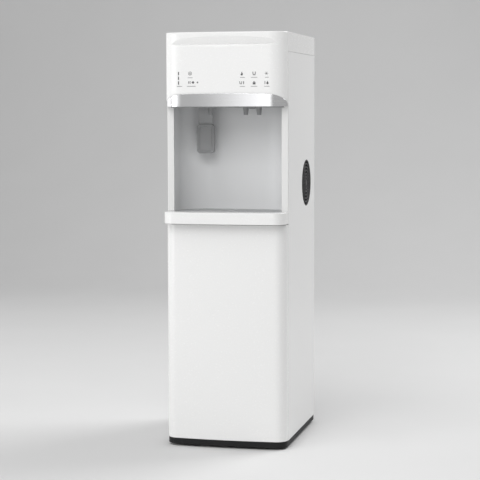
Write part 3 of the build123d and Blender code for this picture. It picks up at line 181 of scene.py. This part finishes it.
def pattern(tree, finish):
    """The texture output that drives a finish, read in the object's own coordinates."""
    coords = tree.nodes.new("ShaderNodeTexCoord")
    stretch = tree.nodes.new("ShaderNodeMapping")
    tree.links.new(coords.outputs["Object"], stretch.inputs["Vector"])
    kind, output = TEXTURES[finish.kind]
    texture = tree.nodes.new(kind)
    texture.inputs["Scale"].default_value = finish.scale
    if finish.kind == "traces":
        texture.distance = "MANHATTAN"
    if finish.kind == "brushed":
        stretch.inputs["Scale"].default_value = BRUSH_STRETCH
    tree.links.new(stretch.outputs["Vector"], texture.inputs["Vector"])
    return texture.outputs[output]


def make_finish(name, finish):
    """A procedural material with slight colour and gloss changes, a fine relief and softened edges."""
    material = bpy.data.materials.new(name)
    material.use_nodes = True
    tree = material.node_tree
    shader = tree.nodes["Principled BSDF"]
    shader.inputs["Metallic"].default_value = finish.metallic
    shader.inputs["Specular IOR Level"].default_value = finish.specular
    shader.inputs["Coat Weight"].default_value = finish.coat
    shader.inputs["Coat Roughness"].default_value = COAT_ROUGHNESS
    factor = pattern(tree, finish)

    ramp = tree.nodes.new("ShaderNodeValToRGB")
    spread = COLOR_SPREAD[finish.kind]
    for element, gain in zip(ramp.color_ramp.elements, (1 - spread, 1 + spread)):
        element.color = (*[min(c * gain, 1.0) for c in finish.color], 1.0)
    tree.links.new(factor, ramp.inputs["Fac"])
    tree.links.new(ramp.outputs["Color"], shader.inputs["Base Color"])

    gloss = tree.nodes.new("ShaderNodeMapRange")
    gloss.inputs["To Min"].default_value, gloss.inputs["To Max"].default_value = finish.rough
    tree.links.new(factor, gloss.inputs["Value"])
    tree.links.new(gloss.outputs["Result"], shader.inputs["Roughness"])

    edge = tree.nodes.new("ShaderNodeBevel")
    edge.inputs["Radius"].default_value = EDGE_SOFTNESS
    relief = tree.nodes.new("ShaderNodeBump")
    relief.inputs["Strength"].default_value = finish.bump
    relief.inputs["Distance"].default_value = BUMP_DISTANCE
    tree.links.new(factor, relief.inputs["Height"])
    tree.links.new(edge.outputs["Normal"], relief.inputs["Normal"])
    tree.links.new(relief.outputs["Normal"], shader.inputs["Normal"])
    return material


def dress_nodes(frame, materials):
    """Gives every solid the finish of its slot in the record, or its own."""
    for entry in frame["record"]["subparts"]:
        node = entry["node"]
        mesh = frame["nodes"][node].data
        mesh.materials.clear()
        mesh.materials.append(materials[NODE_FINISHES.get(node, entry["material_slot"])])


def front_y_mm(x):
    """How far the bowed front falls back from its middle at x."""
    radius = (HEAD_HALF_MM**2 + HEAD_BOW_MM**2) / (2 * HEAD_BOW_MM)
    return radius - math.sqrt(radius**2 - x**2)


def arc(cx, cz, radius, start, end, steps=24):
    """Points along an arc, in degrees from +X towards +Z."""
    turn = [math.radians(start + (end - start) * i / steps) for i in range(steps + 1)]
    return [(cx + radius * math.cos(t), cz + radius * math.sin(t)) for t in turn]


def bar(cx, cz, width, height):
    w, h = width / 2, height / 2
    return [[(cx - w, cz - h), (cx + w, cz - h), (cx + w, cz + h), (cx - w, cz + h)]]


def disc(cx, cz, radius):
    return [arc(cx, cz, radius, 0, 360)[:-1]]


def band(cx, cz, radius, width, start, end):
    """A stretch of ring."""
    inner = arc(cx, cz, radius - width, end, start)
    return [arc(cx, cz, radius, start, end) + inner]


def ring(cx, cz, radius, width):
    return band(cx, cz, radius, width, 0, 180) + band(cx, cz, radius, width, 180, 360)


def drop(cx, cz, size):
    radius = size * 0.32
    return [[(cx, cz + size / 2)] + arc(cx, cz - size * 0.16, radius, 25, -205)]


def flame(cx, cz, size):
    points = [(0.0, 0.5), (0.16, 0.22), (0.3, -0.06), (0.3, -0.3), (0.14, -0.5), (-0.14, -0.5), (-0.3, -0.3),
              (-0.26, -0.02), (-0.12, -0.12), (-0.08, 0.2)]
    return [[(cx + x * size, cz + z * size) for x, z in points]]


def star(cx, cz, size):
    """Three crossed bars, as on a cold button."""
    shapes = []
    for turn in (0, 60, 120):
        c, s = math.cos(math.radians(turn)), math.sin(math.radians(turn))
        corners = bar(0.0, 0.0, size, STAR_BAR_MM)[0]
        shapes.append([(cx + x * c - z * s, cz + x * s + z * c) for x, z in corners])
    return shapes


def cup(cx, cz, size):
    w = size / 2
    outline = [(-0.7 * w, -w), (0.7 * w, -w), (w, w), (0.55 * w, w), (0.35 * w, -0.55 * w),
               (-0.35 * w, -0.55 * w), (-0.55 * w, w), (-w, w)]
    return [[(cx + x, cz + z) for x, z in outline]]


def padlock(cx, cz, size):
    body = bar(cx, cz - size * 0.2, size * 0.8, size * 0.6)
    return body + band(cx, cz + size * 0.1, size * 0.32, size * 0.14, 0, 180)


OUTLINES = {
    "bar": bar,
    "disc": disc,
    "ring": ring,
    "drop": drop,
    "flame": flame,
    "star": star,
    "cup": cup,
    "padlock": padlock,
}


def outlines(table):
    """The closed outlines that a table of shapes asks for."""
    shapes = []
    for kind, *sizes in table:
        shapes += OUTLINES[kind](*sizes)
    return shapes


def printed(name, shapes, front_mm, material):
    """Thin raised print that follows the bowed front."""
    mesh = bpy.data.meshes.new(name)
    build = bmesh.new()
    for outline in shapes:
        points = [(x, front_mm + front_y_mm(x) - PRINT_PROUD_MM, z) for x, z in outline]
        build.faces.new([build.verts.new(Vector(point) * MM) for point in points])
    grown = bmesh.ops.extrude_face_region(build, geom=build.faces[:])
    moved = [v for v in grown["geom"] if isinstance(v, bmesh.types.BMVert)]
    bmesh.ops.translate(build, verts=moved, vec=(0, PRINT_DEPTH_MM * MM, 0))
    bmesh.ops.recalc_face_normals(build, faces=build.faces[:])
    build.to_mesh(mesh)
    build.free()
    mesh.materials.append(material)
    piece = bpy.data.objects.new(name, mesh)
    bpy.context.collection.objects.link(piece)
    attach(piece, "cabinet")


def cartridge_band(body, material):
    """A plain colour band round a filter cartridge, which turns with it."""
    low, high = (Vector(corner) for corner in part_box(f"{body}_filter"))
    middle = (low + high) / 2
    middle.z = low.z + (BAND_START_MM + BAND_HEIGHT_MM / 2) * MM
    mesh = bpy.data.meshes.new(f"{body}_band")
    build = bmesh.new()
    bmesh.ops.create_cone(build, cap_ends=True, segments=BAND_SIDES, radius1=BAND_RADIUS_MM * MM,
                          radius2=BAND_RADIUS_MM * MM, depth=BAND_HEIGHT_MM * MM,
                          matrix=Matrix.Translation(middle))
    for face in build.faces:
        face.smooth = abs(face.normal.z) < 0.5
    build.to_mesh(mesh)
    build.free()
    mesh.materials.append(material)
    piece = bpy.data.objects.new(mesh.name, mesh)
    bpy.context.collection.objects.link(piece)
    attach(piece, body)


def make_stage():
    """A pale floor that curves up into a backdrop."""
    material = make_finish("stage_paper", PAPER)
    profile = [(STAGE_NEAR, 0.0)]
    profile += arc(BEND_START, BEND_RADIUS, BEND_RADIUS, -90, 0, BEND_STEPS)
    profile.append((BEND_START + BEND_RADIUS, WALL_TOP))
    verts = [(x, y, z) for y, z in profile for x in (-STAGE_HALF, STAGE_HALF)]
    faces = [(2 * i, 2 * i + 1, 2 * i + 3, 2 * i + 2) for i in range(len(profile) - 1)]
    mesh = bpy.data.meshes.new("backdrop")
    mesh.from_pydata(verts, [], faces)
    mesh.polygons.foreach_set("use_smooth", [True] * len(faces))
    mesh.materials.append(material)
    floor = bpy.data.objects.new("backdrop", mesh)
    bpy.context.collection.objects.link(floor)


def softbox(name, lamp):
    """A rectangular lamp that the camera doesn't see."""
    light = bpy.data.lights.new(name, "AREA")
    light.shape = "RECTANGLE"
    light.size, light.size_y = lamp.width, lamp.tall
    light.energy = lamp.power
    source = bpy.data.objects.new(name, light)
    source.visible_camera = False
    turn = math.radians(lamp.angle)
    source.location = (lamp.distance * math.sin(turn), -lamp.distance * math.cos(turn), lamp.height)
    source.rotation_euler = (Vector(lamp.aim) - source.location).to_track_quat("-Z", "Y").to_euler()
    bpy.context.collection.objects.link(source)


def make_light():
    """Soft studio light: an even sky, large banks round the object and low strips in front."""
    world = bpy.data.worlds.new("studio")
    bpy.context.scene.world = world
    world.use_nodes = True
    sky = world.node_tree.nodes["Background"]
    sky.inputs["Color"].default_value = (1.0, 1.0, 1.0, 1.0)
    sky.inputs["Strength"].default_value = SKY_STRENGTH
    for name, lamp in LAMPS.items():
        softbox(name, lamp)
    for name, (distance, width) in FRONT_STRIPS.items():
        power = STRIP_POWER_PER_M * width
        softbox(name, Lamp(STRIP_ANGLE, distance, STRIP_HEIGHT, width, STRIP_TALL, power))


def make_camera():
    """The photograph's viewpoint."""
    yaw, pitch, roll = (math.radians(v) for v in (CAMERA_YAW, CAMERA_PITCH, CAMERA_ROLL))
    back = Vector((math.sin(yaw) * math.cos(pitch), -math.cos(yaw) * math.cos(pitch), math.sin(pitch)))
    level = Vector((math.cos(yaw), math.sin(yaw), 0.0))
    above = back.cross(level)
    right = math.cos(roll) * level + math.sin(roll) * above
    up = -math.sin(roll) * level + math.cos(roll) * above
    data = bpy.data.cameras.new("camera")
    data.sensor_fit = "HORIZONTAL"
    data.sensor_width = SENSOR_MM
    data.lens = FOCAL_PX / IMAGE_PX * SENSOR_MM
    camera = bpy.data.objects.new("camera", data)
    camera.matrix_world = Matrix.Translation(CAMERA_AT) @ Matrix((right, up, back)).transposed().to_4x4()
    bpy.context.collection.objects.link(camera)
    bpy.context.scene.camera = camera


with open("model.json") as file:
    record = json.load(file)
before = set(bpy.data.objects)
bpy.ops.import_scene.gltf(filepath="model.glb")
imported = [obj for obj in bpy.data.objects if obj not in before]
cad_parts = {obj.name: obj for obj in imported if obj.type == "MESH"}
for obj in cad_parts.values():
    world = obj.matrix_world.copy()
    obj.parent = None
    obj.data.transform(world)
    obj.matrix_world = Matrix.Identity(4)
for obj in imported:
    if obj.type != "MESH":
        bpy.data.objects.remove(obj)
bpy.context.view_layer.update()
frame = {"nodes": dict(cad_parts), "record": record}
bpy.context.scene.view_settings.view_transform = "Standard"
materials = {name: make_finish(name, finish) for name, finish in FINISHES.items()}
dress_nodes(frame, materials)
front_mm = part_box("control_fascia")[0][1] / MM
printed("fascia_icons", outlines(ICONS), front_mm, materials["icon_print"])
printed("fascia_labels", outlines(CAPTIONS), front_mm, materials["label_print"])
for body, finish_name in BAND_FINISHES.items():
    cartridge_band(body, materials[finish_name])
make_stage()
make_light()
make_camera()
